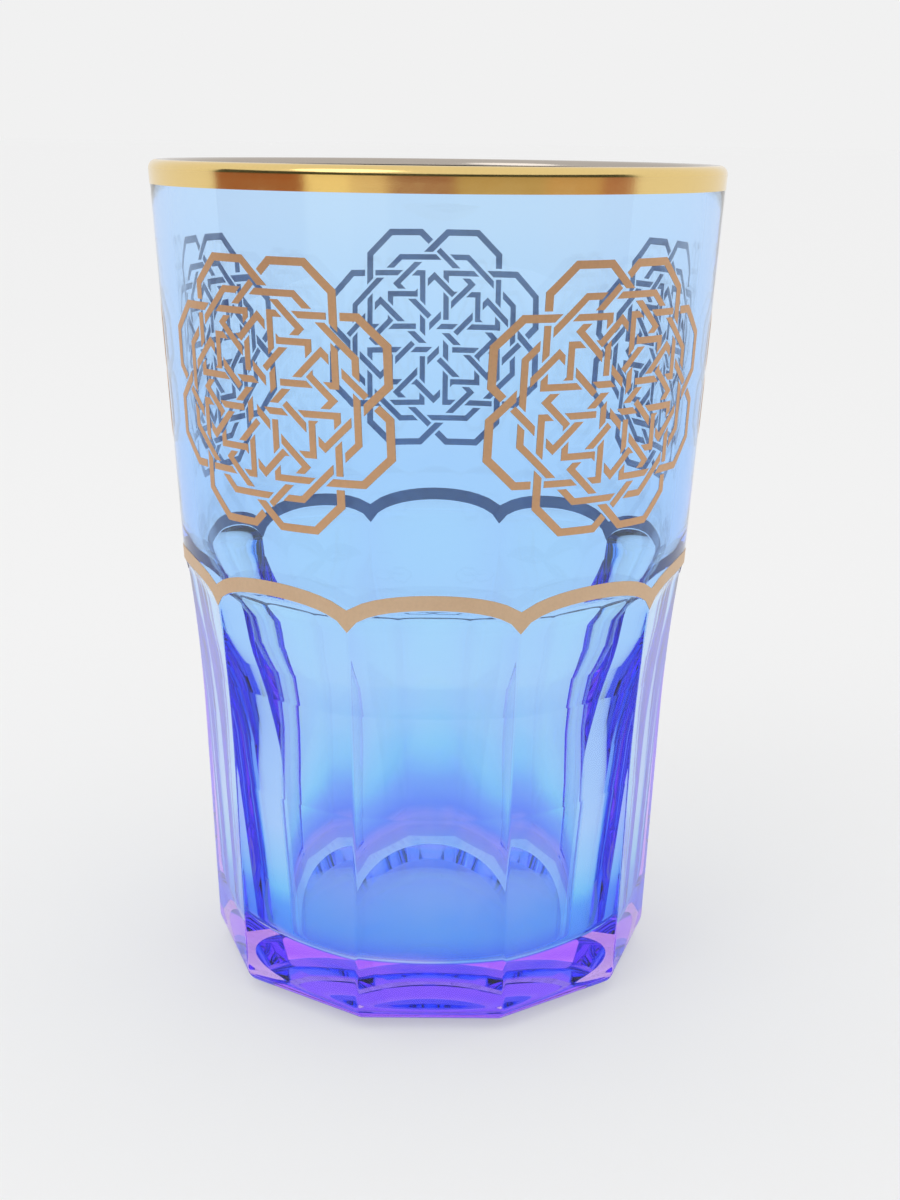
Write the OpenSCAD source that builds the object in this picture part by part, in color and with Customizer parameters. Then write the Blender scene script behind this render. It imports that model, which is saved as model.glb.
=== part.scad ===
// A pressed tea glass: ten flat panels below, a plain flared wall above, a translucent
// colour on the bore, and fired gilding on the rim, over the panels and in five medallions.
// The glass stands on z = 0 and its axis is Z. Panel 1 faces -Y.

/* [Glass] */
// Height from the table to the top of the rim
height = 122.5; // [110:0.5:135]
// Diameter at the rim
rim_d = 83.5; // [76:0.5:92]
// Thickness of the upper wall, which is also the width of the rounded rim
wall = 2.3; // [1.8:0.1:3]
// Diameter of the upper wall where it meets the corners of the panels
shoulder_d = 75.8; // [71:0.2:80]

/* [Panels] */
// How many flat panels go round the lower half
panels = 10; // [8:1:12]
// Height of the corners where two panels run out
panel_top = 60.9; // [54:0.1:66]
// Distance across two opposite panels at the table, without the rounding
foot_across = 64.9; // [60:0.1:67]
// Taper of each panel, in degrees
panel_taper = 2.46; // [1.5:0.02:3.2]
// Height where the panels begin to sweep outwards
flare_z = 38; // [30:1:45]
// Radius of the hollow at the top of each panel
cove_r = 6.6; // [5.5:0.1:8]
// Slope of that hollow at the corners, away from upright, in degrees
corner_slope = 9.5; // [8.8:0.1:11]

/* [Foot] */
// Radius of the rounded edge between a panel and the underside
heel_r = 3; // [2:0.1:4]
// Slope of the underside between that edge and the foot ring, in degrees
heel_slope = 11; // [8:0.5:14]
// Outer radius of the flat ring that the glass stands on
ring_r = 24.5; // [22:0.1:27]
// Width of that flat ring
ring_w = 3; // [2:0.1:5]
// Depth of the hollow in the middle of the underside
punt_h = 1.6; // [0.8:0.1:2.5]

/* [Bore] */
// Thickness of the solid base
floor_t = 10; // [8:0.1:13]
// Radius of the rounded corner between the floor and the wall
floor_r = 6; // [4:0.1:8]
// Diameter of the lower bore, taken down to the floor without the rounding
floor_d = 57.4; // [52:0.2:59]
// Diameter of the bore where it begins to widen into the upper wall
throat_d = 66.6; // [65:0.2:67.4]
// Height where it begins to widen
throat_z = 60.5; // [58:0.5:62]
// Height over which it widens
throat_h = 7.5; // [6:0.5:9]

/* [Colour] */
// Thickness of the colour that covers the bore
coat_t = 0.1; // [0.06:0.01:0.2]

/* [Gilding] */
// Thickness of the gilding
gilt_t = 0.08; // [0.05:0.01:0.15]
// How far the rim band comes down outside
band_out = 3.3; // [2.6:0.1:5]
// How far the rim band comes down inside
band_in = 2; // [1.6:0.1:3.5]
// Width of the scalloped line above the panels
scallop_w = 2.1; // [1.4:0.1:2.6]
// Clear glass between a panel's edge and that line
scallop_gap = 0.2; // [0.1:0.05:0.5]

/* [Medallions] */
// How many medallions stand round the upper wall
medallions = 5; // [3:1:5]
// Share of the free height between the scalloped line and the rim band that lies below them
medallion_share = 0.48; // [0.2:0.02:0.8]
// Height of a medallion as a share of its width
squeeze_share = 0.952; // [0.92:0.004:1]
// Distance from the centre to the outer side of a lobe, on the middle of its strap
lobe_r = 18.6; // [17:0.1:19]
// Distance from the centre to a side of the eight-sided ring
octagon_r = 14.3; // [13.8:0.1:15]
// Distance from the centre to the straps that cross between two lobes
cross_r = 11.5; // [11:0.1:12]
// Distance from the centre to a side of the eight-pointed star
star_r = 7.8; // [7.4:0.1:8.4]
// Distance from the centre to the straps that pass beside it
heart_r = 2.07; // [1.9:0.01:2.3]
// Width of the straps in the lobes
lobe_w = 1.12; // [0.9:0.02:1.3]
// Width of the other straps
strap_w = 0.96; // [0.8:0.02:1.1]
// Gap beside a strap where another one passes under it
strap_gap = 0.4; // [0.25:0.05:0.55]
// Wider gap around the middle of the medallion
heart_gap = 0.7; // [0.5:0.05:0.9]

/* [Hidden] */
$fn = 180;
// Facets of the arcs whose radius is much larger than the glass
wide_fn = 256;
// How far a cutting shape runs past what it cuts
overrun = 1;
// Straight steps along the rounded edge, the sweep and the hollow of a panel: adjoining panels
// then meet in clean edges
heel_steps = 12;
sweep_steps = 10;
cove_steps = 14;
// Steps along one arch of the scalloped line
arch_steps = 16;
// Part of the turn between two medallions that keeps medallion 1 on the second panel
first_medallion_share = 0.49;

half_turn = 180 / panels;
rim_r = rim_d / 2;
shoulder_r = shoulder_d / 2;

// A line in a plane is [distance from the origin, direction of its normal in degrees].
function meet(a, b) = [a[0] * sin(b[1]) - b[0] * sin(a[1]), b[0] * cos(a[1]) - a[0] * cos(b[1])]
    / sin(b[1] - a[1]);
function normal(angle) = [cos(angle), sin(angle)];
function line_at(point, angle) = [point * normal(angle), angle];

// The rim is a full round, and the upper wall leaves it as a tangent down to the shoulder.
rim_c = [rim_r - wall / 2, height - wall / 2];
shoulder = [shoulder_r, panel_top];
wall_taper = atan2(rim_c.x - shoulder.x, rim_c.y - shoulder.y)
    + asin(wall / 2 / norm(rim_c - shoulder));
rim_outer = rim_c + wall / 2 * normal(-wall_taper);
rim_inner = rim_c - wall / 2 * normal(-wall_taper);
function outer_r(z) = shoulder_r + (z - panel_top) * tan(wall_taper);
function inner_r(z) = outer_r(z) - wall / cos(wall_taper);

// Section of a panel, with x away from the axis: heel, flat, sweep and hollow.
foot_a = foot_across / 2;
panel_side = line_at([foot_a, 0], -panel_taper);
foot_side = line_at([ring_r, 0], heel_slope - 90);
heel_c = meet(panel_side - [heel_r, 0], foot_side - [heel_r, 0]);
flare_start = [foot_a + flare_z * tan(panel_taper), flare_z];
corner = [shoulder_r * cos(half_turn), panel_top];
cove_c = corner + cove_r * normal(-corner_slope);
// The sweep is the arc that leaves the flat and runs into the hollow just below the corners.
rise = cove_c - flare_start;
flare_r = (rise * rise - cove_r * cove_r) / (2 * (rise * normal(-panel_taper) - cove_r));
flare_c = flare_start + flare_r * normal(-panel_taper);
hollow_angle = atan2(cove_c.y - flare_c.y, cove_c.x - flare_c.x);
function arc(centre, radius, from, to, steps) =
    [for (i = [0 : steps]) centre + radius * normal(from + (to - from) * i / steps)];
cove_top = cove_c.y + cove_r;
panel_w = 2 * shoulder_r * tan(half_turn);

// Bore: the lower part is a cone with a rounded floor, the upper part follows the wall.
throat_r = throat_d / 2;
bore_taper = atan2(throat_r - floor_d / 2, throat_z - floor_t);
throat_top = throat_z + throat_h;

// The underside is hollowed by a shallow ball.
punt_r = ring_r - ring_w;
ball_r = (punt_r * punt_r + punt_h * punt_h) / (2 * punt_h);

// Half widths of the clearings that a strap leaves in the ones below it
past_strap = strap_w / 2 + strap_gap;
past_lobe = lobe_w / 2 + strap_gap;
past_heart = strap_w / 2 + heart_gap;
// Each strap: its width, the line that cuts its start, its own lines, the line that cuts its end
STRAPS = [
    // round a lobe, over the next lobe and back to it
    [lobe_w, [octagon_r + past_strap, 45],
        [[cross_r, 90], [lobe_r, 45], [lobe_r, 0], [cross_r, -45]], [cross_r + past_lobe, 45]],
    // from under the next lobe, over the ring
    [strap_w, [cross_r - past_lobe, 45], [[cross_r, -45]], [cross_r + past_strap, 0]],
    // round the outer corner, over the star
    [strap_w, [cross_r - past_strap, 0], [[cross_r, -45], [-heart_r, 225]],
        [heart_r + past_strap, -90]],
    // the short blade beside the centre
    [strap_w, [heart_r - past_strap, -90], [[-heart_r, 225]], [heart_r - past_heart, 90]],
    // outwards again to the star
    [strap_w, [heart_r + past_heart, 90], [[-heart_r, 180]], [star_r - past_strap, 45]],
    // round the other corner, out to the ring
    [strap_w, [star_r + past_strap, 45], [[-heart_r, 180], [cross_r, 90]],
        [octagon_r - past_strap, 45]],
    // one point of the star
    [strap_w, [heart_r - past_strap, 180], [[star_r, 135], [star_r, 45], [star_r, 90]],
        [heart_r + past_strap, 135]],
    // one corner of the ring
    [strap_w, [cross_r + past_strap, 45], [[octagon_r, 90], [octagon_r, 45]],
        [cross_r - past_strap, 0]],
];

function strap_edge(strap, side) = let(
        own = [for (l = strap[2]) [l[0] + side * strap[0] / 2, l[1]]],
        all_lines = concat([strap[1]], own, [strap[3]]))
    [for (i = [1 : len(all_lines) - 1]) meet(all_lines[i - 1], all_lines[i])];
function strap_outline(strap) = let(
        left = strap_edge(strap, 1),
        right = strap_edge(strap, -1))
    concat(left, [for (i = [len(right) - 1 : -1 : 0]) right[i]]);
function turned(p, angle) = [p.x * cos(angle) - p.y * sin(angle),
    p.x * sin(angle) + p.y * cos(angle)];

// Height at which a panel's hollow runs out on the upper wall, at an angle from its middle
function arch_z(angle) = let(
        k = tan(wall_taper) * cos(angle),
        reach = cove_c.x - outer_r(cove_c.y) * cos(angle))
    cove_c.y + cove_r * sin(atan(k) + acos(reach / (cove_r * sqrt(1 + k * k))));
function arch_angle(i) = half_turn * (2 * i / arch_steps - 1);
function arch_point(i) = [shoulder_r * sin(arch_angle(i)), arch_z(arch_angle(i))];
function arch_normal(i) = let(
        a = arch_point(max(i - 1, 0)),
        b = arch_point(min(i + 1, arch_steps)))
    [a.y - b.y, b.x - a.x] / norm(b - a);
function raised_arch(rise) = let(
        points = [for (i = [0 : arch_steps]) arch_point(i) + rise * arch_normal(i)],
        last = points[arch_steps],
        run = last - points[arch_steps - 1],
        past = last + run / norm(run) * overrun)
    concat([[-past.x, past.y]], points, [past]);

// The medallions stand in the height that is left free above the scalloped line.
arch_top = arch_z(0) + scallop_gap + scallop_w;
medallion_h = squeeze_share * (2 * lobe_r + lobe_w);
free_h = height - band_out - arch_top - medallion_h;
medallion_z = arch_top + medallion_share * free_h + medallion_h / 2;
wrap_r = outer_r(medallion_z);
// A point of the flat pattern as it lies on the wall, seen from outside along the radius
function wrapped(p) = [-wrap_r * sin(p.x / wrap_r * 180 / PI),
    medallion_z + squeeze_share * p.y * cos(wall_taper)];

// The rounded top of the wall with the stretch below it, or with a growth the gilding over it
module rim_section(growth = 0) {
    half = (wall / 2 + growth) * normal(-wall_taper);
    run = (band_out + wall) * normal(90 - wall_taper);
    translate(rim_c) circle(r = norm(half));
    polygon([rim_c + half, rim_c - half, rim_c - half - run, rim_c + half - run]);
}

// The round blank: its wall runs on below the shoulder, where the panels take it away
module glass_section() {
    blank_r = outer_r(flare_z);
    polygon([[0, -overrun], [blank_r, -overrun], [blank_r, flare_z], rim_outer, rim_c, rim_inner,
        [0, rim_inner.y]]);
    translate(rim_c) circle(r = wall / 2);
}

// Outline of the bore, or with an inset that of the bore inside its colour
module bore_section(inset = 0) {
    floor_z = floor_t + inset;
    side = line_at([throat_r, throat_z], -bore_taper) - [inset, 0];
    c = meet(side - [floor_r - inset, 0], [floor_z + floor_r - inset, 90]);
    foot = c + (floor_r - inset) * normal(-bore_taper);
    throat = meet(side, [throat_z, 90]);
    polygon([[0, floor_z], [c.x, floor_z], c, foot, throat,
        [inner_r(throat_top) - inset / cos(wall_taper), throat_top],
        rim_inner - inset * normal(-wall_taper),
        [rim_inner.x - inset, height + overrun], [0, height + overrun]]);
    translate(c) circle(r = floor_r - inset);
}

// The outside of the panels, turned in as many flat steps as there are panels
module panelled_form() rotate(half_turn - 90) rotate_extrude($fn = panels)
    polygon([for (p = concat(
        [[0, 0], [ring_r, 0]],
        arc(heel_c, heel_r, heel_slope - 90, -panel_taper, heel_steps),
        arc(flare_c, flare_r, 180 - panel_taper, hollow_angle, sweep_steps),
        arc(cove_c, cove_r, hollow_angle, 90, cove_steps),
        [[cove_c.x + overrun, cove_top], [cove_c.x + overrun, height + overrun],
        [0, height + overrun]])) [p.x / cos(half_turn), p.y]]);

module round_panels() {
    for (i = [0 : panels - 1]) rotate(i * 2 * half_turn - 90) children();
}

module glass_body() color([0.78, 0.88, 0.98, 0.6]) difference() {
    // The blank is turned so that its seam lies clear of the panels' corners.
    intersection() {
        rotate(half_turn / 2) rotate_extrude() glass_section();
        panelled_form();
    }
    rotate_extrude() bore_section();
    translate([0, 0, punt_h - ball_r]) sphere(r = ball_r, $fn = wide_fn);
}

module colour_coat() color([0.25, 0.5, 0.95, 0.7]) rotate_extrude() difference() {
    bore_section();
    bore_section(coat_t);
    translate([0, height - band_in]) square([rim_r, band_in + 2 * overrun]);
}

// The upper wall grown by the gilding, from a lower to a higher level
module gilt_shell(low, high) rotate_extrude() polygon([
    [outer_r(low), low], [outer_r(low) + gilt_t, low],
    [outer_r(high) + gilt_t, high], [outer_r(high), high]]);

module gilt_rim_band() color([0.85, 0.68, 0.32]) rotate_extrude() intersection() {
    difference() {
        rim_section(gilt_t);
        rim_section();
    }
    union() {
        translate([rim_c.x, height - band_out]) square([wall, band_out + overrun]);
        translate([rim_c.x - wall, height - band_in]) square([wall, band_in + overrun]);
    }
}

module scallop_block(rise) round_panels() rotate([90, 0, 90])
    linear_extrude(height = shoulder_r + overrun)
        polygon(concat(raised_arch(rise), [[panel_w / 2, flare_z], [-panel_w / 2, flare_z]]));

module gilt_scallop_line() color([0.8, 0.64, 0.42]) difference() {
    intersection() {
        gilt_shell(corner.y - scallop_w, cove_top + scallop_w);
        scallop_block(scallop_gap + scallop_w);
    }
    scallop_block(scallop_gap);
}

module gilt_medallion(number) color([0.82, 0.65, 0.4])
    rotate((number - first_medallion_share) * 360 / medallions - 90)
    intersection() {
        gilt_shell(medallion_z - medallion_h / 2 - lobe_w, medallion_z + medallion_h / 2 + lobe_w);
        rotate([90, 0, 90]) linear_extrude(height = rim_r + overrun)
            for (turn = [0 : 45 : 315], strap = STRAPS)
                polygon([for (p = strap_outline(strap)) wrapped(turned(p, turn))]);
    }

module gilt_medallion_1() gilt_medallion(1);
module gilt_medallion_2() gilt_medallion(2);
module gilt_medallion_3() gilt_medallion(3);
module gilt_medallion_4() gilt_medallion(4);
module gilt_medallion_5() gilt_medallion(5);

glass_body();
colour_coat();
gilt_rim_band();
gilt_scallop_line();
gilt_medallion_1();
gilt_medallion_2();
gilt_medallion_3();
gilt_medallion_4();
gilt_medallion_5();
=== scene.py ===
import math

import bpy
from mathutils import Matrix, Vector


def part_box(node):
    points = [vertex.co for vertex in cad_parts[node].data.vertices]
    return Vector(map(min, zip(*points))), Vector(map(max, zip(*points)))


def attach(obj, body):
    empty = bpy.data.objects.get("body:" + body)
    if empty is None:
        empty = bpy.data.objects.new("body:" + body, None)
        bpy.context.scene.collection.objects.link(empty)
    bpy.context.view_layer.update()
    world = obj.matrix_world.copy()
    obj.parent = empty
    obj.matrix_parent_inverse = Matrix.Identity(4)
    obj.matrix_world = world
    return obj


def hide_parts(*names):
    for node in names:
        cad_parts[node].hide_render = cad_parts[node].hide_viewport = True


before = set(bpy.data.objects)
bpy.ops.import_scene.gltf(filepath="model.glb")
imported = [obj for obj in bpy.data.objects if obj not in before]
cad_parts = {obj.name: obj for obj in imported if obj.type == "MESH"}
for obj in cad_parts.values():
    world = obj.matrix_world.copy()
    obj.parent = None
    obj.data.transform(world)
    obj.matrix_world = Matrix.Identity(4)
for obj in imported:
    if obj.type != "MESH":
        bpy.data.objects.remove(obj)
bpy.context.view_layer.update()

# %% [markdown]
# # A pressed tea glass with a blue bore and interlaced gilding
#
# The glass was pressed in a mould: ten flat panels below, a plain flared wall above, a thick
# solid base. A translucent blue colour covers the bore, denser towards the floor. Gold paste was
# fired on outside: a band over the rim, a scalloped line over the panels and five medallions of
# interlaced straps.
#
# The CAD frame gives the sizes. Flat facets would show in clear glass and in polished gold, so
# the glass, the colour on its bore and the rim band are drawn again here with smooth curves. The
# matt gilding keeps its CAD solids and only gets a finish.

# %% The unit
# The section is written in millimetres, and the frame's height gives their length in metres.
HEIGHT = 122.5
glass_low, glass_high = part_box("glass_body")
MM = glass_high.z / HEIGHT
print(f"one millimetre is {MM:.6f} m; the glass is {glass_high.x - glass_low.x:.4f} m wide")

# %% [markdown]
# ## Camera
#
# The picture was taken from a little above the rim, close enough that the rim shows as a thin
# ellipse and the base as a wide one. The camera's height, distance, tilt and lens were solved
# from the outline of the rim, the corners of the panels and the base. The small roll is real:
# the rim drops slightly to the right.

# %% Camera
CAMERA_DISTANCE = 265.9 * MM
CAMERA_HEIGHT = 125.9 * MM
CAMERA_DOWN = math.radians(14.63)
CAMERA_TURN = math.radians(0.53)
CAMERA_ROLL = math.radians(0.69)
LENS_MM, SENSOR_MM = 53.07, 36
NEAREST_SEEN = 0.01


def put_in_scene(name, data):
    made = bpy.data.objects.new(name, data)
    bpy.context.scene.collection.objects.link(made)
    return made


forward = Vector((math.sin(CAMERA_TURN) * math.cos(CAMERA_DOWN),
                  math.cos(CAMERA_TURN) * math.cos(CAMERA_DOWN),
                  -math.sin(CAMERA_DOWN)))
level = Vector((math.cos(CAMERA_TURN), -math.sin(CAMERA_TURN), 0))
above = level.cross(forward)
right = math.cos(CAMERA_ROLL) * level + math.sin(CAMERA_ROLL) * above
up = math.cos(CAMERA_ROLL) * above - math.sin(CAMERA_ROLL) * level
camera = put_in_scene("camera", bpy.data.cameras.new("camera"))
camera.data.lens = LENS_MM
camera.data.sensor_width = SENSOR_MM
camera.data.clip_start = NEAREST_SEEN
camera.matrix_world = Matrix.Translation((0, -CAMERA_DISTANCE, CAMERA_HEIGHT)) @ Matrix(
    (right, up, -forward)).transposed().to_4x4()
bpy.context.scene.camera = camera
bpy.context.scene.view_settings.view_transform = "Standard"
print(f"camera {CAMERA_DISTANCE:.3f} m away, {math.degrees(CAMERA_DOWN):.1f} degrees down")

# %% [markdown]
# ## Helpers for node trees
#
# Shaders and geometry trees are both built from nodes, so one helper makes a node, sets its
# values and links what is already a socket. The others make the few nodes that every tree here
# needs, and a group with named sockets.

# %% Node helpers
def add(tree, kind, inputs=(), **settings):
    node = tree.nodes.new(kind)
    for name, value in settings.items():
        setattr(node, name, value)
    for key, value in dict(inputs).items():
        if isinstance(value, bpy.types.NodeSocket):
            tree.links.new(value, node.inputs[key])
        else:
            node.inputs[key].default_value = value
    return node


def compute(tree, operation, *values):
    """The result of a Math node. A value is a number or a socket."""
    return add(tree, "ShaderNodeMath", dict(enumerate(values)), operation=operation).outputs[0]


def share_between(tree, value, low, high, **settings):
    """How far a value has come from low to high, from 0 to 1."""
    return add(tree, "ShaderNodeMapRange", {"Value": value, "From Min": low, "From Max": high},
               **settings).outputs[0]


def mix_colours(tree, share, first, second):
    """A Mix node keeps its two colours in inputs 6 and 7, and gives the colour at output 2."""
    return add(tree, "ShaderNodeMix", {0: share, 6: first, 7: second},
               data_type="RGBA").outputs[2]


def tone_ramp(tree, value, stops):
    """A colour ramp with a stop for each pair of a position and a tone."""
    ramp = add(tree, "ShaderNodeValToRGB", {0: value})
    elements = ramp.color_ramp.elements
    elements[0].position, elements[1].position = stops[0][0], stops[-1][0]
    elements[0].color, elements[1].color = (*stops[0][1], 1), (*stops[-1][1], 1)
    for position, tone in stops[1:-1]:
        elements.new(position).color = (*tone, 1)
    return ramp.outputs[0]


# %% Places and groups
def object_place(tree):
    return add(tree, "ShaderNodeTexCoord").outputs["Object"]


def off_the_axis(tree):
    """The place with its height taken off, which points straight away from the axis."""
    return add(tree, "ShaderNodeVectorMath", {0: object_place(tree), 1: (1, 1, 0)},
               operation="MULTIPLY").outputs[0]


def group(name, kind, inputs, outputs):
    tree = bpy.data.node_groups.new(name, kind)
    for label, socket, value in inputs:
        made = tree.interface.new_socket(label, in_out="INPUT", socket_type=socket)
        if value is not None:
            made.default_value = value
    for label, socket in outputs:
        tree.interface.new_socket(label, in_out="OUTPUT", socket_type=socket)
    return tree, tree.nodes.new("NodeGroupInput"), tree.nodes.new("NodeGroupOutput")


# %% [markdown]
# ## Floor, backdrop and light
#
# The picture has a white sweep all round and no hard shadow. A wide pale floor meets a world of
# the same brightness, so no horizon shows. The world lights the glass evenly. The camera and
# reflections see it as the pale backdrop, and rays that come through the glass see plain white.
#
# A floor lit from above would look darker than that world, more so through blue glass. So it
# gives off a share of the same tones to the camera and to rays through the glass, and keeps the
# rest of its own light, which holds the soft shadow. One large lamp gives the gilding a
# direction.

# %% Floor
SWEEP_R, SWEEP_SIDES = 40, 64
floor_mesh = bpy.data.meshes.new("floor")
floor_mesh.from_pydata([(SWEEP_R * math.cos(k * math.tau / SWEEP_SIDES),
                         SWEEP_R * math.sin(k * math.tau / SWEEP_SIDES), 0)
                        for k in range(SWEEP_SIDES)], [], [range(SWEEP_SIDES)])
floor = put_in_scene("floor", floor_mesh)
print("floor", floor.dimensions.x, "m across")


# %% Floor finish
def material(name, **uniform):
    """A material whose shader has these plain values, its tree and its shader."""
    made = bpy.data.materials.new(name)
    made.use_nodes = True
    shader = made.node_tree.nodes["Principled BSDF"]
    for key, value in uniform.items():
        shader.inputs[key.replace("_", " ")].default_value = value
    return made, made.node_tree, shader


WHITE, BACKDROP = (1, 1, 1, 1), (0.88, 0.88, 0.88, 1)
FLOOR_GLOW = (("Is Camera Ray", 0.45, BACKDROP), ("Is Transmission Ray", 0.75, WHITE))
pale_floor, tree, shader = material("pale_floor", Base_Color=BACKDROP, Roughness=0.9,
                                    Specular_IOR_Level=0.1)
rays = add(tree, "ShaderNodeLightPath").outputs
mixed = shader.outputs[0]
for ray, share, tone in FLOOR_GLOW:
    glow = add(tree, "ShaderNodeEmission", {"Color": tone, "Strength": 1})
    mixed = add(tree, "ShaderNodeMixShader", {0: compute(tree, "MULTIPLY", rays[ray], share),
                                              1: mixed, 2: glow.outputs[0]}).outputs[0]
tree.links.new(mixed, tree.nodes["Material Output"].inputs["Surface"])
floor_mesh.materials.append(pale_floor)
print("floor glow for", len(FLOOR_GLOW), "kinds of ray")

# %% World
LIGHT_LEVEL = 0.99
SEEN = (("Is Camera Ray", BACKDROP), ("Is Glossy Ray", BACKDROP), ("Is Transmission Ray", WHITE))
world = bpy.data.worlds.new("studio")
world.use_nodes = True
bpy.context.scene.world = world
sky = world.node_tree
sky.nodes.clear()
rays = add(sky, "ShaderNodeLightPath").outputs
light = add(sky, "ShaderNodeBackground", {"Color": WHITE, "Strength": LIGHT_LEVEL})
for ray, tone in SEEN:
    shown = add(sky, "ShaderNodeBackground", {"Color": tone, "Strength": 1})
    light = add(sky, "ShaderNodeMixShader", {0: rays[ray], 1: light.outputs[0],
                                             2: shown.outputs[0]})
add(sky, "ShaderNodeOutputWorld", {"Surface": light.outputs[0]})
print("world at light level", LIGHT_LEVEL)

# %% Soft lamp
LAMP_PLACE, LAMP_AIM = Vector((-0.45, -0.5, 0.75)), Vector((0, 0, 0.06))
LAMP_WIDTH, LAMP_WATTS = 0.6, 1.0
lamp = put_in_scene("soft_lamp", bpy.data.lights.new("soft_lamp", "AREA"))
lamp.data.shape = "DISK"
lamp.data.size = LAMP_WIDTH
lamp.data.energy = LAMP_WATTS
lamp.location = LAMP_PLACE
lamp.rotation_euler = (LAMP_AIM - LAMP_PLACE).to_track_quat("-Z", "Y").to_euler()
print(f"lamp {(LAMP_AIM - LAMP_PLACE).length:.2f} m away")

# %% [markdown]
# ## Something for the gold to mirror
#
# Polished gold only looks like metal when it mirrors something darker than the sweep. In a
# studio a bent card stands round the camera for that. This one is seen by reflections alone:
# browns near the table, where the rim band looks, and nearly black above them.

# %% Reflection card
# Each tone starts at its own angle from the front, in degrees, and ends at the next one's.
CARD_R, CARD_FOOT, CARD_TOP, CARD_STEP = 0.6, 0.001, 0.36, 2
CARD_TONES = ((-92, (0.36, 0.14, 0.08)), (-50, (0.96, 0.88, 0.66)), (-32, (0.78, 0.66, 0.52)),
              (-18, (0.36, 0.19, 0.17)), (6, (0.52, 0.42, 0.27)), (40, (0.6, 0.42, 0.27)),
              (63, (0.45, 0.22, 0.18)))
CARD_END = 78
bends = [math.radians(a) for a in range(CARD_TONES[0][0], CARD_END + 1, CARD_STEP)]
card_mesh = bpy.data.meshes.new("reflection_card")
card_mesh.from_pydata([(CARD_R * math.sin(a), -CARD_R * math.cos(a), z)
                       for z in (CARD_FOOT, CARD_TOP) for a in bends], [],
                      [(i, i + 1, len(bends) + i + 1, len(bends) + i)
                       for i in range(len(bends) - 1)])
card = put_in_scene("reflection_card", card_mesh)
for ray in ("camera", "diffuse", "transmission", "shadow", "volume_scatter"):
    setattr(card, "visible_" + ray, False)
print("card of", len(card_mesh.polygons), "faces")

# %% Card finish
TONE_BLEND = 1.5
DARK_TONE, DARK_FROM, DARK_FULL = (0.06, 0.07, 0.06, 1), 0.09, 0.13
card_finish = bpy.data.materials.new("card_tones")
card_finish.use_nodes = True
tree = card_finish.node_tree
tree.nodes.clear()
at = add(tree, "ShaderNodeSeparateXYZ", {0: object_place(tree)}).outputs
bend = compute(tree, "ARCTAN2", at["X"], compute(tree, "MULTIPLY", at["Y"], -1))
ends = [start for start, tone in CARD_TONES[1:]] + [CARD_END]
browns = tone_ramp(tree, share_between(tree, bend, -math.pi, math.pi), [
    ((a + 180) / 360, tone) for (start, tone), end in zip(CARD_TONES, ends)
    for a in (start + TONE_BLEND, end - TONE_BLEND)])
seen = mix_colours(tree, share_between(tree, at["Z"], DARK_FROM, DARK_FULL), browns, DARK_TONE)
lit = add(tree, "ShaderNodeEmission", {"Color": seen, "Strength": 1})
add(tree, "ShaderNodeOutputMaterial", {"Surface": lit.outputs[0]})
card_mesh.materials.append(card_finish)
print("card of", len(CARD_TONES), "tones")

# %% [markdown]
# ## The section of the glass
#
# Everything turns about the Z axis, so the glass is drawn as a section: distance from the axis
# and height. Corners get a radius, as every corner of pressed glass has one. Two short points
# beside each arc keep the smooth shading from running into the flats.

# %% Section helpers
LEAD, FINE_LEAD = 0.25, 0.2
ARC_STEP = math.radians(6)


def direction(angle):
    return Vector((math.cos(angle), math.sin(angle)))


def arc(centre, radius, start, end, steps):
    return [centre + radius * direction(start + (end - start) * i / steps)
            for i in range(steps + 1)]


def rounded(corners, lead=LEAD):
    """A line through corners of (x, z, radius), each rounded, with a lead point beside each arc."""
    points = [Vector(corners[0][:2])]
    for before, at, after in zip(corners, corners[1:], corners[2:]):
        here = Vector(at[:2])
        back = (Vector(before[:2]) - here).normalized()
        on = (Vector(after[:2]) - here).normalized()
        half = back.angle(on) / 2
        if not at[2]:
            points += [here + lead * back, here, here + lead * on]
            continue
        centre = here + (back + on).normalized() * at[2] / math.sin(half)
        run = at[2] / math.tan(half)
        first = here + run * back - centre
        turn = math.copysign(math.pi - 2 * half, first.x * on.y - first.y * on.x)
        steps = max(2, round(abs(turn) / ARC_STEP))
        begin = math.atan2(first.y, first.x)
        points += [here + (run + lead) * back]
        points += arc(centre, at[2], begin, begin + turn, steps)
        points += [here + (run + lead) * on]
    return points + [Vector(corners[-1][:2])]


def spaced(points, longest):
    """The same line with no stretch longer than that."""
    out = [points[0]]
    for a, b in zip(points, points[1:]):
        parts = max(1, math.ceil((b - a).length / longest))
        out += [a + (b - a) * i / parts for i in range(1, parts + 1)]
    return out


# %% [markdown]
# ## Wall, panels and bore
#
# The rim of such a glass is melted to a full round, and the wall leaves it as a tangent down to
# the shoulder. Square to a panel, the outside is a rounded heel, a flat, a long sweep and a
# tight hollow under the wall.
#
# The lines seen through the side panels and the base tell the bore's shape: it follows the
# outside, narrow below and opening where the panels sweep out, with a small corner at the floor.
# All three could be drawn by eye, but an arc that is worked out from its sizes stays smooth, and
# clear glass shows every bump.

# %% Upper wall
RIM_R, WALL = 41.75, 2.3
SHOULDER_R, PANEL_TOP = 37.9, 60.9
SKIN = 0.02  # the clear glass stands this far over the inner face of the gilding
rim_centre = Vector((RIM_R - WALL / 2, HEIGHT - WALL / 2))
to_rim = rim_centre - Vector((SHOULDER_R, PANEL_TOP))
wall_taper = math.atan2(to_rim.x, to_rim.y) + math.asin(WALL / 2 / to_rim.length)


def outer_r(z):
    return SHOULDER_R + (z - PANEL_TOP) * math.tan(wall_taper)


def inner_r(z):
    return outer_r(z) - WALL / math.cos(wall_taper)


print(f"wall taper {math.degrees(wall_taper):.2f} degrees")

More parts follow.
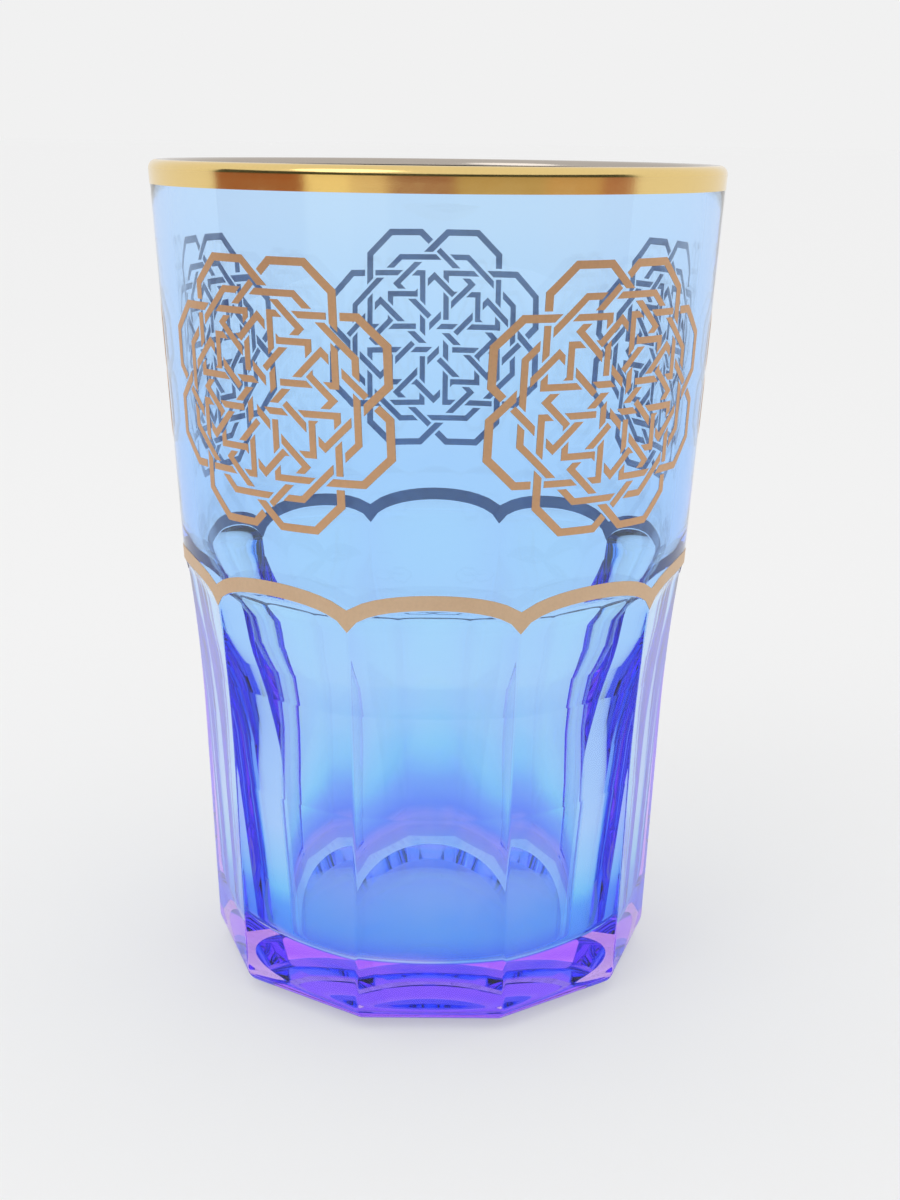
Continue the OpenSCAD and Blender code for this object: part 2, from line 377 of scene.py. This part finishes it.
# %% Panel section
PANELS = 10
HALF_TURN = math.pi / PANELS
FOOT_X, PANEL_TAPER = 32.45, math.radians(2.46)
FLARE_Z, COVE_R, CORNER_SLOPE = 38, 6.6, math.radians(9.5)
HEEL_R, HEEL_SLOPE = 3, math.radians(11)
RING_R, RING_W, PUNT_H = 24.5, 3, 1.6
PANEL_STRETCH, FLARE_STEPS = 6, 14

heel_x = (FOOT_X - RING_R * math.tan(HEEL_SLOPE) * math.tan(PANEL_TAPER)) / (
    1 - math.tan(HEEL_SLOPE) * math.tan(PANEL_TAPER))
heel_corner = (heel_x, (heel_x - RING_R) * math.tan(HEEL_SLOPE), HEEL_R)
flare_start = Vector((FOOT_X + FLARE_Z * math.tan(PANEL_TAPER), FLARE_Z))
corner = Vector((SHOULDER_R * math.cos(HALF_TURN), PANEL_TOP))
cove_c = corner + COVE_R * direction(-CORNER_SLOPE)
rise = cove_c - flare_start
flare_r = (rise.length_squared - COVE_R ** 2) / (2 * (rise.dot(direction(-PANEL_TAPER)) - COVE_R))
flare_c = flare_start + flare_r * direction(-PANEL_TAPER)
hollow_angle = math.atan2(cove_c.y - flare_c.y, cove_c.x - flare_c.x)
panel_line = spaced(rounded([(RING_R, 0), heel_corner, tuple(flare_start)]), PANEL_STRETCH)[1:]
panel_line += arc(flare_c, flare_r, math.pi - PANEL_TAPER, hollow_angle, FLARE_STEPS)[1:]
print(f"sweep radius {flare_r:.0f} mm, {len(panel_line)} points from foot to hollow")

# %% Bore section
# The glass is drawn a little over its colour, so that the colour lies within the clear glass, as
# a fired colour does. Near the rim it steps back, because the gold there lies on bare glass.
FLOOR_T, FLOOR_R, FLOOR_D = 8, 2, 49.8
BEND_D, BEND_Z, BEND_R = 57.2, 40, 80
THROAT_D, THROAT_Z, THROAT_R, THROAT_H = 66.8, 54.5, 30, 13.5
COAT_T, COVER_T = 0.1, 0.05
BAND_IN, COAT_GAP, BARE_H = 2, 0.1, 0.7
BORE_STRETCH = 5
band_z = HEIGHT - BAND_IN
coat_z = band_z - COAT_GAP
bare_z = band_z + BARE_H


def bore(inset):
    """The bore from under the rim band to the middle of the floor, drawn inset mm smaller."""
    return spaced(rounded([
        (inner_r(coat_z) - inset, coat_z, 0),
        (inner_r(THROAT_Z + THROAT_H) - inset, THROAT_Z + THROAT_H, THROAT_R),
        (THROAT_D / 2 - inset, THROAT_Z, THROAT_R),
        (BEND_D / 2 - inset, BEND_Z, BEND_R),
        (FLOOR_D / 2 - inset, FLOOR_T + inset, FLOOR_R - inset),
        (0, FLOOR_T + inset, 0)], FINE_LEAD), BORE_STRETCH)


bore_line = [Vector((inner_r(bare_z) - SKIN, bare_z))] + bore(COAT_T + COVER_T)
print(len(bore_line), "points down the bore")

# %% [markdown]
# ## One share of the glass
#
# All ten panels are alike, so only one share of the turn is modelled: a grid whose columns are
# sections at angles across the panel. A panel point keeps its distance square to the panel, so
# its radius grows away from the middle until the next panel takes over at a softly rounded
# edge. Each column finds for itself where the hollow runs out on the wall. That draws the
# arched edge exactly, which no cut through a finished mesh would.

# %% Columns across a panel
# The columns stand closer near the panel's edge. Their places are in degrees from it.
EDGE_R = 0.9
FROM_EDGE = (0, 0.13, 0.26, 0.4, 0.55, 0.85, 1.4, 2.2, 3.3, 4.6, 6, 7.5, 9, 10.5, 12, 13.5, 15,
             16.5, 18)
HALVINGS = 40
edge_turns = [HALF_TURN * (a / FROM_EDGE[-1] - 1) for a in FROM_EDGE]
turns = edge_turns + [-a for a in reversed(edge_turns[:-1])]


def panel_radius(x, turn):
    """Distance from the axis of a panel point x away square to it, with its edge rounded."""
    if abs(turn) <= math.atan((x - EDGE_R) * math.tan(HALF_TURN) / x):
        return x / math.cos(turn)
    centre = (x - EDGE_R) / math.cos(HALF_TURN)
    off = HALF_TURN - abs(turn)
    return centre * math.cos(off) + math.sqrt(EDGE_R ** 2 - (centre * math.sin(off)) ** 2)


def crease_angle(turn):
    """Where on the hollow's arc this column meets the upper wall."""
    low, high = hollow_angle, math.pi / 2
    for _ in range(HALVINGS):
        mid = (low + high) / 2
        p = cove_c + COVE_R * direction(mid)
        if panel_radius(p.x, turn) < outer_r(p.y) + SKIN:
            low = mid
        else:
            high = mid
    return low


print(len(turns), "columns across", round(math.degrees(turns[-1] - turns[0])), "degrees")

# %% A column's section
COVE_STEPS, WALL_STEPS, RIM_STEPS = 12, 16, 22
punt_r = RING_R - RING_W
ball_r = (punt_r ** 2 + PUNT_H ** 2) / (2 * PUNT_H)
hollow_line = [(r, math.sqrt(ball_r ** 2 - r * r) + PUNT_H - ball_r)
               for r in (0, 4, 8, 12, 16, 19, 21, punt_r - FINE_LEAD, punt_r)]


def rim_round(offset):
    """The rim's round from the outside to the bore, that far out from the gilding's inner face."""
    return [tuple(p) for p in arc(rim_centre, WALL / 2 + offset, -wall_taper,
                                  math.pi - wall_taper, RIM_STEPS)]


def glass_column(turn):
    ring_r = panel_radius(RING_R, turn)
    ring = [(punt_r + FINE_LEAD, 0), (ring_r - FINE_LEAD, 0), (ring_r, 0)]
    cove = arc(cove_c, COVE_R, hollow_angle, crease_angle(turn), COVE_STEPS)
    lower = [(panel_radius(p.x, turn), p.y) for p in panel_line + cove[1:-1]]
    crease_z = cove[-1].y
    first = crease_z + LEAD
    last = rim_centre.y - math.sin(wall_taper) * WALL / 2
    heights = [crease_z] + [first + (last - first) * i / WALL_STEPS for i in range(WALL_STEPS)]
    wall = [(outer_r(z) + SKIN, z) for z in heights]
    return hollow_line + ring + lower + wall + rim_round(SKIN) + [tuple(p) for p in bore_line]


crease_row = len(hollow_line) + 3 + len(panel_line) + COVE_STEPS - 1  # the ring has 3 points
print("columns of", len(glass_column(0)), "points, with the crease at", crease_row)


# %% Mesh of one share
def share_mesh(name, column, sharp_rows=(), closed=False):
    columns = [column(t) for t in turns]
    rows = len(columns[0])
    places = [(r * math.sin(t) * MM, -r * math.cos(t) * MM, z * MM)
              for t, points in zip(turns, columns) for r, z in points]
    faces = []
    for j in range(len(turns) - 1):
        for i in range(rows if closed else rows - 1):
            k = (i + 1) % rows
            faces.append((j * rows + i, (j + 1) * rows + i, (j + 1) * rows + k, j * rows + k))
    mesh = bpy.data.meshes.new(name)
    mesh.from_pydata(places, [], faces)
    for edge in mesh.edges:
        a, b = (v % rows for v in edge.vertices)
        edge.use_edge_sharp = a == b and a in sharp_rows
    return mesh


glass_share = share_mesh("glass_share", glass_column, {crease_row})
print("one share of the glass has", len(glass_share.polygons), "faces")

# %% [markdown]
# ## A tree that repeats a share round the axis
#
# Geometry Nodes put ten copies of a share round the axis, weld their edges and close the points
# on the axis. The count and the weld distance are named inputs, and nothing in the tree belongs
# to one piece, so the same tree also makes the colour and the rim band.

# %% Repeat round the axis
WELD = 2e-6  # metres
ring_tree, ins, outs = group(
    "repeat_round_axis", "GeometryNodeTree",
    [("Share", "NodeSocketGeometry", None), ("Count", "NodeSocketInt", PANELS),
     ("Weld Distance", "NodeSocketFloat", WELD), ("Finish", "NodeSocketMaterial", None)],
    [("Whole", "NodeSocketGeometry")])
posts = add(ring_tree, "GeometryNodeMeshLine", {"Count": ins.outputs["Count"],
                                                "Offset": (0, 0, 0)})
step = compute(ring_tree, "DIVIDE", math.tau, ins.outputs["Count"])
number = add(ring_tree, "GeometryNodeInputIndex").outputs[0]
spin = add(ring_tree, "ShaderNodeCombineXYZ", {"Z": compute(ring_tree, "MULTIPLY", number, step)})
copies = add(ring_tree, "GeometryNodeInstanceOnPoints", {
    "Points": posts.outputs[0], "Instance": ins.outputs["Share"], "Rotation": spin.outputs[0]})
real = add(ring_tree, "GeometryNodeRealizeInstances", {0: copies.outputs[0]})
welded = add(ring_tree, "GeometryNodeMergeByDistance", {
    "Geometry": real.outputs[0], "Distance": ins.outputs["Weld Distance"]})
smooth = add(ring_tree, "GeometryNodeSetShadeSmooth", {"Geometry": welded.outputs[0]})
finished = add(ring_tree, "GeometryNodeSetMaterial", {
    "Geometry": smooth.outputs[0], "Material": ins.outputs["Finish"]})
ring_tree.links.new(finished.outputs[0], outs.inputs[0])
print("the tree has", len(ring_tree.nodes), "nodes")


# %% A piece from its share
def round_the_axis(name, mesh, finish, node):
    """The whole piece from one share, standing for a CAD node."""
    source = put_in_scene(name + "_share", mesh)
    modifier = source.modifiers.new("repeat", "NODES")
    modifier.node_group = ring_tree
    sockets = {s.name: s.identifier for s in ring_tree.interface.items_tree
               if s.in_out == "INPUT"}
    modifier[sockets["Count"]] = PANELS
    modifier[sockets["Weld Distance"]] = WELD
    modifier[sockets["Finish"]] = finish
    ready = source.evaluated_get(bpy.context.evaluated_depsgraph_get())
    piece = put_in_scene(name, bpy.data.meshes.new_from_object(ready))
    bpy.data.objects.remove(source)
    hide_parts(node)
    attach(piece, "root")
    print(f"{name}: {len(piece.data.polygons)} faces, {len(piece.data.vertices)} points")


# %% [markdown]
# ## Clear pressed glass
#
# Glass is a surface that bends light and a mass that takes a little of it. The surface needs
# full transmission and the right index. The mass takes green and some red, so the blue turns
# violet wherever rays run a long way inside the glass, as they do in the base and along the
# side panels.
#
# Two small faults of real pressed glass keep it from looking computed: the surface is very
# slightly wavy where it cooled in the mould, and the foot has a cast of its own, bluer under
# the floor and more violet outside.

# %% Mould waviness
wavy, ins, outs = group(
    "mould_waviness", "ShaderNodeTree",
    [("Wave Scale", "NodeSocketFloat", 90), ("Haze", "NodeSocketFloat", 0.01)],
    [("Height", "NodeSocketFloat"), ("Roughness", "NodeSocketFloat")])
place = object_place(wavy)
waves = add(wavy, "ShaderNodeTexNoise", {"Vector": place, "Scale": ins.outputs["Wave Scale"],
                                         "Detail": 0.5})
smears = add(wavy, "ShaderNodeTexNoise", {"Vector": place, "Scale": 25, "Detail": 3})
haze = compute(wavy, "MULTIPLY", smears.outputs["Fac"], ins.outputs["Haze"])
wavy.links.new(waves.outputs["Fac"], outs.inputs["Height"])
wavy.links.new(haze, outs.inputs["Roughness"])
print("mould waviness of", len(wavy.nodes), "nodes")

# %% Clear glass finish
GLASS_INDEX = 1.52
MASS_TONE, MASS_DENSITY = (0.64, 0.0, 1, 1), 23.0
WAVE_DEPTH = 0.03 * MM
CAST_FULL_Z, CAST_END_Z = 9 * MM, 13 * MM
UNDER_FLOOR_R, OUTSIDE_R = 23 * MM, 26 * MM
UNDER_FLOOR_TONE, OUTSIDE_TONE = (0.5, 0.54, 1, 1), (0.62, 0.41, 1, 1)
clear_glass, tree, shader = material("clear_glass", Base_Color=WHITE, Transmission_Weight=1.0,
                                     IOR=GLASS_INDEX)
height = add(tree, "ShaderNodeSeparateXYZ", {0: object_place(tree)}).outputs["Z"]
foot = share_between(tree, height, CAST_FULL_Z, CAST_END_Z, interpolation_type="SMOOTHSTEP")
radius = add(tree, "ShaderNodeVectorMath", {0: off_the_axis(tree)}, operation="LENGTH")
outside = share_between(tree, radius.outputs["Value"], UNDER_FLOOR_R, OUTSIDE_R)
foot_tone = mix_colours(tree, outside, UNDER_FLOOR_TONE, OUTSIDE_TONE)
tree.links.new(mix_colours(tree, foot, foot_tone, WHITE), shader.inputs["Base Color"])
pressed = add(tree, "ShaderNodeGroup", {"Haze": 0.01}, node_tree=wavy)
tree.links.new(pressed.outputs["Roughness"], shader.inputs["Roughness"])
relief = add(tree, "ShaderNodeBump", {"Strength": 1.0, "Distance": WAVE_DEPTH,
                                      "Height": pressed.outputs["Height"]})
tree.links.new(relief.outputs[0], shader.inputs["Normal"])
mass = add(tree, "ShaderNodeVolumeAbsorption", {"Color": MASS_TONE, "Density": MASS_DENSITY})
tree.links.new(mass.outputs[0], tree.nodes["Material Output"].inputs["Volume"])
print("glass of index", GLASS_INDEX)

# %% The glass
round_the_axis("tea_glass", glass_share, clear_glass, "glass_body")

# %% [markdown]
# ## The blue colour
#
# The colour is a film fired on the bore, denser and a little more violet towards the floor. Its
# section is a thin loop along the bore, which lies inside the clear glass, so it must not bend
# light again: an index of 1 lets rays run straight through and only tints them. A colour ramp
# over the height gives the tint, and slow clouds shift it a little, as a sprayed colour drifts.

# %% Blue film finish
# Each stop has a height in millimetres and the share of red, green and blue that comes through.
FILM_TONES = ((8.3, (0.78, 1.0, 1)), (10, (0.33, 0.83, 1)), (14, (0.37, 0.93, 1)),
              (20, (0.58, 0.98, 1)), (27, (0.68, 0.98, 1)), (35, (0.66, 0.95, 1)),
              (50, (0.63, 0.885, 1)), (71, (0.60, 0.835, 1)), (85, (0.63, 0.86, 1)),
              (117, (0.75, 0.925, 1)))
DRIFT = 0.04
blue_film, tree, shader = material("blue_film", Transmission_Weight=1.0, IOR=1.0, Roughness=0.0)
place = object_place(tree)
clouds = add(tree, "ShaderNodeTexNoise", {"Vector": place, "Scale": 60, "Detail": 2})
height = add(tree, "ShaderNodeSeparateXYZ", {0: place}).outputs["Z"]
drifted = compute(tree, "MULTIPLY_ADD", clouds.outputs["Fac"], DRIFT,
                  share_between(tree, height, 0, HEIGHT * MM))
tint = tone_ramp(tree, compute(tree, "SUBTRACT", drifted, DRIFT / 2),
                 [(z / HEIGHT, tone) for z, tone in FILM_TONES])
tree.links.new(tint, shader.inputs["Base Color"])
print("blue film of", len(FILM_TONES), "tones")


# %% The blue film
def film_column(turn):
    return [tuple(p) for p in bore(0)[::-1] + bore(COAT_T)]


round_the_axis("blue_colour_film", share_mesh("film_share", film_column), blue_film,
               "colour_coat")

# %% [markdown]
# ## Fired gilding
#
# The gold on the straps is a matt film with a fine grain, slightly uneven where the paste lay
# thin. Seen through the glass from behind, it is painted a dull grey. That is painted shade, for
# gold that lies in shade inside the glass. The two sides of a strap face away from or towards the
# axis, which tells them apart from any view. The line and the rim band are the same gold with
# other values, so the finish is one group with named inputs. The inside of the rim band gets the
# same painted shade.

# %% Gilding group
gilding, ins, outs = group(
    "fired_gilding", "ShaderNodeTree",
    [("Face Colour", "NodeSocketColor", (0.6, 0.4, 0.2, 1)),
     ("Back Colour", "NodeSocketColor", (0.4, 0.4, 0.45, 1)),
     ("Unevenness", "NodeSocketFloat", 0.15), ("Grain Scale", "NodeSocketFloat", 2500),
     ("Smoothest", "NodeSocketFloat", 0.3), ("Roughest", "NodeSocketFloat", 0.45)],
    [("Colour", "NodeSocketColor"), ("Roughness", "NodeSocketFloat"),
     ("Height", "NodeSocketFloat")])
place = object_place(gilding)
facing = add(gilding, "ShaderNodeVectorMath", {
    0: off_the_axis(gilding), 1: add(gilding, "ShaderNodeNewGeometry").outputs["True Normal"]},
    operation="DOT_PRODUCT")
# The side that faces the axis takes the back colour, which is painted shade.
back = compute(gilding, "LESS_THAN", facing.outputs["Value"], 0)
blotches = add(gilding, "ShaderNodeTexNoise", {"Vector": place, "Scale": 140, "Detail": 4,
                                               "Roughness": 0.6}).outputs["Fac"]
grain = add(gilding, "ShaderNodeTexNoise", {"Vector": place, "Scale": ins.outputs["Grain Scale"],
                                            "Detail": 1}).outputs["Fac"]
off_middle = compute(gilding, "SUBTRACT", compute(gilding, "ADD", blotches, grain), 1.0)
shade = compute(gilding, "MULTIPLY_ADD", off_middle, ins.outputs["Unevenness"], 1.0)
side = mix_colours(gilding, back, ins.outputs["Face Colour"], ins.outputs["Back Colour"])
worn = add(gilding, "ShaderNodeVectorMath", {0: side, "Scale": shade}, operation="SCALE")
polish = add(gilding, "ShaderNodeMapRange", {
    "Value": blotches, "From Min": 0.3, "From Max": 0.7,
    "To Min": ins.outputs["Smoothest"], "To Max": ins.outputs["Roughest"]})
gilding.links.new(worn.outputs[0], outs.inputs["Colour"])
gilding.links.new(polish.outputs[0], outs.inputs["Roughness"])
gilding.links.new(grain, outs.inputs["Height"])
print("gilding of", len(gilding.nodes), "nodes")


# %% Gilding on the straps and the scalloped line
def gilt(name, relief_mm, **values):
    """A gold finish. The values are the gilding group's inputs, with a line for each space."""
    made, tree, shader = material(name, Metallic=1.0)
    finish = add(tree, "ShaderNodeGroup",
                 {key.replace("_", " "): value for key, value in values.items()},
                 node_tree=gilding)
    tree.links.new(finish.outputs["Colour"], shader.inputs["Base Color"])
    tree.links.new(finish.outputs["Roughness"], shader.inputs["Roughness"])
    bump = add(tree, "ShaderNodeBump", {"Strength": 1.0, "Distance": relief_mm * MM,
                                        "Height": finish.outputs["Height"]})
    tree.links.new(bump.outputs[0], shader.inputs["Normal"])
    return made


# The back colour is painted shade: a dull grey where the gold faces the axis, in shade inside the
# glass.
MATT_PAINTED_SHADE, MATT_RELIEF = (0.42, 0.41, 0.47, 1), 0.01
strap_gold = gilt("strap_gold", MATT_RELIEF, Face_Colour=(0.66, 0.41, 0.24, 1),
                  Back_Colour=MATT_PAINTED_SHADE, Unevenness=0.15, Smoothest=0.4, Roughest=0.55)
line_gold = gilt("line_gold", MATT_RELIEF, Face_Colour=(0.72, 0.53, 0.36, 1),
                 Back_Colour=MATT_PAINTED_SHADE, Unevenness=0.12, Smoothest=0.45, Roughest=0.6)
straps = [node for name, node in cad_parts.items() if name.startswith("gilt_medallion")]
for node in straps:
    node.material_slots[0].material = strap_gold
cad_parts["gilt_scallop_line"].material_slots[0].material = line_gold
print(len(straps), "medallions and the line are gilt")

# %% [markdown]
# ## The rim band
#
# The band is the brightest metal on the glass: smooth enough to mirror the card. It wraps the
# rounded rim like a channel, so its section is a closed loop, out over the glass and back along
# it, and the same tree repeats it round the axis.

# %% Rim band
GILT_T, BAND_OUT = 0.08, 3.3
OUTSIDE_RISES, INSIDE_RISES = (0, 0.3, 1.2), (0.4, 0)


def band_column(turn):
    foot = HEIGHT - BAND_OUT
    outside = [(outer_r(foot + rise) + GILT_T, foot + rise) for rise in OUTSIDE_RISES]
    inside = [(inner_r(band_z + rise) - GILT_T, band_z + rise) for rise in INSIDE_RISES]
    return (outside + rim_round(GILT_T) + inside + [(inner_r(band_z), band_z)]
            + rim_round(0)[::-1] + [(outer_r(foot), foot)])


band_end = len(band_column(0)) - 1
inside_end = len(OUTSIDE_RISES) + RIM_STEPS + len(INSIDE_RISES)
# The band's inside faces the axis and takes a darker grey brown back colour, which is painted
# shade.
rim_gold = gilt("rim_gold", 0.002, Face_Colour=(0.87, 0.64, 0.26, 1),
                Back_Colour=(0.5, 0.45, 0.4, 1), Unevenness=0.06, Smoothest=0.1, Roughest=0.2)
band_share = share_mesh("band_share", band_column, {0, inside_end, inside_end + 1, band_end},
                        closed=True)
round_the_axis("rim_band", band_share, rim_gold, "gilt_rim_band")

# %% [markdown]
# ## Light paths
#
# A ray may cross the glass, its colour and the far wall several times before it leaves, so it
# is allowed more bounces than a scene of plain solids needs.

# %% Bounces
MOST_BOUNCES, MOST_MIRRORED = 32, 16
cycles = bpy.context.scene.cycles
cycles.max_bounces = MOST_BOUNCES
cycles.transmission_bounces = MOST_BOUNCES
cycles.glossy_bounces = MOST_MIRRORED
print("up to", MOST_BOUNCES, "bounces")
